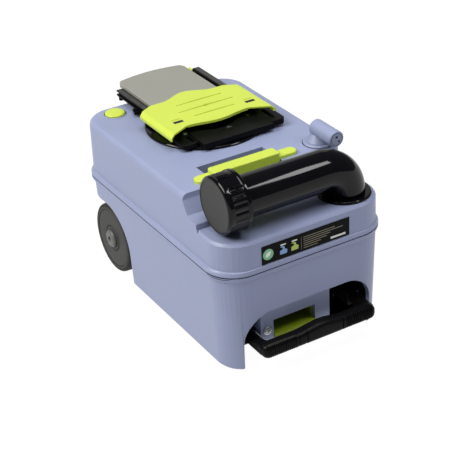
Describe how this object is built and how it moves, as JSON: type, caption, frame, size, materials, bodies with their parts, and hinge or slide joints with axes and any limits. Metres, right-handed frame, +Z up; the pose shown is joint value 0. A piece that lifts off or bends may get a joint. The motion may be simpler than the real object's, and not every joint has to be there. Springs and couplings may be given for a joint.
{
  "type": "wheeled waste-holding tank",
  "caption": "Wheeled two-half waste tank with sliding inlet cover, swinging capped spout, turning vent elbow, sprung air button, carry grips and pull-out trolley handle.",
  "frame": {"origin": "centre of the tank's flat underside, on the floor", "axes": "+X across the tank, -Y towards the handle and spout end, +Z up"},
  "size_m": [0.29, 0.51, 0.3064],
  "materials": {
    "tank_blue": "fine-grained moulded plastic, satin",
    "lime": "satin moulded plastic",
    "black_gloss": "polished moulded plastic",
    "black_satin": "satin moulded plastic",
    "grey_plastic": "satin moulded plastic",
    "wheel_plastic": "fine-grained moulded plastic",
    "steel": "zinc-plated",
    "rubber": "matt",
    "label_film": "printed film, gloss"
  },
  "bodies": {
    "tank": {"lower_tank": "tank_blue", "upper_tank": "tank_blue", "label_plate": "label_film", "bay_liner": "black_satin", "grip_housing": "tank_blue", "lower_grip": "lime", "housing_screw": "steel", "upper_grip": "lime", "left_axle": "steel", "right_axle": "steel", "left_axle_clip": "steel", "right_axle_clip": "steel", "left_handle_guide": "black_satin", "right_handle_guide": "black_satin", "spout_collar": "black_gloss", "spout_seal": "rubber", "mechanism_base": "black_gloss", "inlet_gasket": "rubber", "lip_seal": "rubber", "mechanism_frame": "black_satin", "mechanism_screws": "steel", "rear_plate": "grey_plastic", "vent_base": "tank_blue", "vent_gasket": "rubber", "button_housing": "wheel_plastic", "button_spring": "steel", "float_bracket": "black_satin", "float_pin": "steel"},
    "left_wheel_body": {"left_wheel": "wheel_plastic", "left_hub_cap": "wheel_plastic"},
    "right_wheel_body": {"right_wheel": "wheel_plastic", "right_hub_cap": "wheel_plastic"},
    "handle_body": {"pull_handle": "black_satin", "handle_stops": "black_satin"},
    "spout_body": {"spout": "black_gloss", "spout_ring": "black_gloss"},
    "cap_body": {"spout_cap": "black_gloss", "cap_disc": "wheel_plastic", "cap_gasket": "rubber"},
    "cover_body": {"sliding_cover": "lime"},
    "blade_body": {"valve_blade": "black_satin", "blade_shaft": "steel", "blade_lever": "black_satin"},
    "vent_body": {"vent_elbow": "tank_blue", "vent_screw": "steel"},
    "button_body": {"vent_button": "lime", "button_valve": "rubber"},
    "float_body": {"level_float": "lime"}
  },
  "joints": [
    {"name": "left_wheel_spin", "type": "hinge", "parent": "tank", "child": "left_wheel_body", "pos_m": [-0.119, 0.153, 0.058], "axis": [1, 0, 0], "continuous": true},
    {"name": "right_wheel_spin", "type": "hinge", "parent": "tank", "child": "right_wheel_body", "pos_m": [0.119, 0.153, 0.058], "axis": [1, 0, 0], "continuous": true},
    {"name": "handle_pull", "type": "slide", "parent": "tank", "child": "handle_body", "axis": [0, -1, 0], "range_m": [0, 0.25]},
    {"name": "spout_swing", "type": "hinge", "parent": "tank", "child": "spout_body", "pos_m": [0.0925, -0.176, 0.215], "axis": [0, 0, 1], "range_deg": [0, 90]},
    {"name": "cap_unscrew", "type": "slide", "parent": "spout_body", "child": "cap_body", "axis": [-1, 0, 0], "range_m": [0, 0.06]},
    {"name": "cover_slide", "type": "slide", "parent": "tank", "child": "cover_body", "axis": [0, 1, 0], "range_m": [0, 0.105]},
    {"name": "blade_turn", "type": "hinge", "parent": "tank", "child": "blade_body", "pos_m": [0.006, 0.143, 0.25], "axis": [0, 0, -1], "range_deg": [0, 100]},
    {"name": "vent_turn", "type": "hinge", "parent": "tank", "child": "vent_body", "pos_m": [0.112, -0.084, 0.26], "axis": [0, 0, 1], "range_deg": [0, 180]},
    {"name": "button_press", "type": "slide", "parent": "tank", "child": "button_body", "axis": [0, 0, -1], "range_m": [0, 0.0035], "stiffness_N_per_m": 400, "springref_m": -0.003, "deforming": ["button_spring"]},
    {"name": "float_lift", "type": "hinge", "parent": "tank", "child": "float_body", "pos_m": [0, 0.06, 0.016], "axis": [-1, 0, 0], "range_deg": [0, 70]}
  ]
}
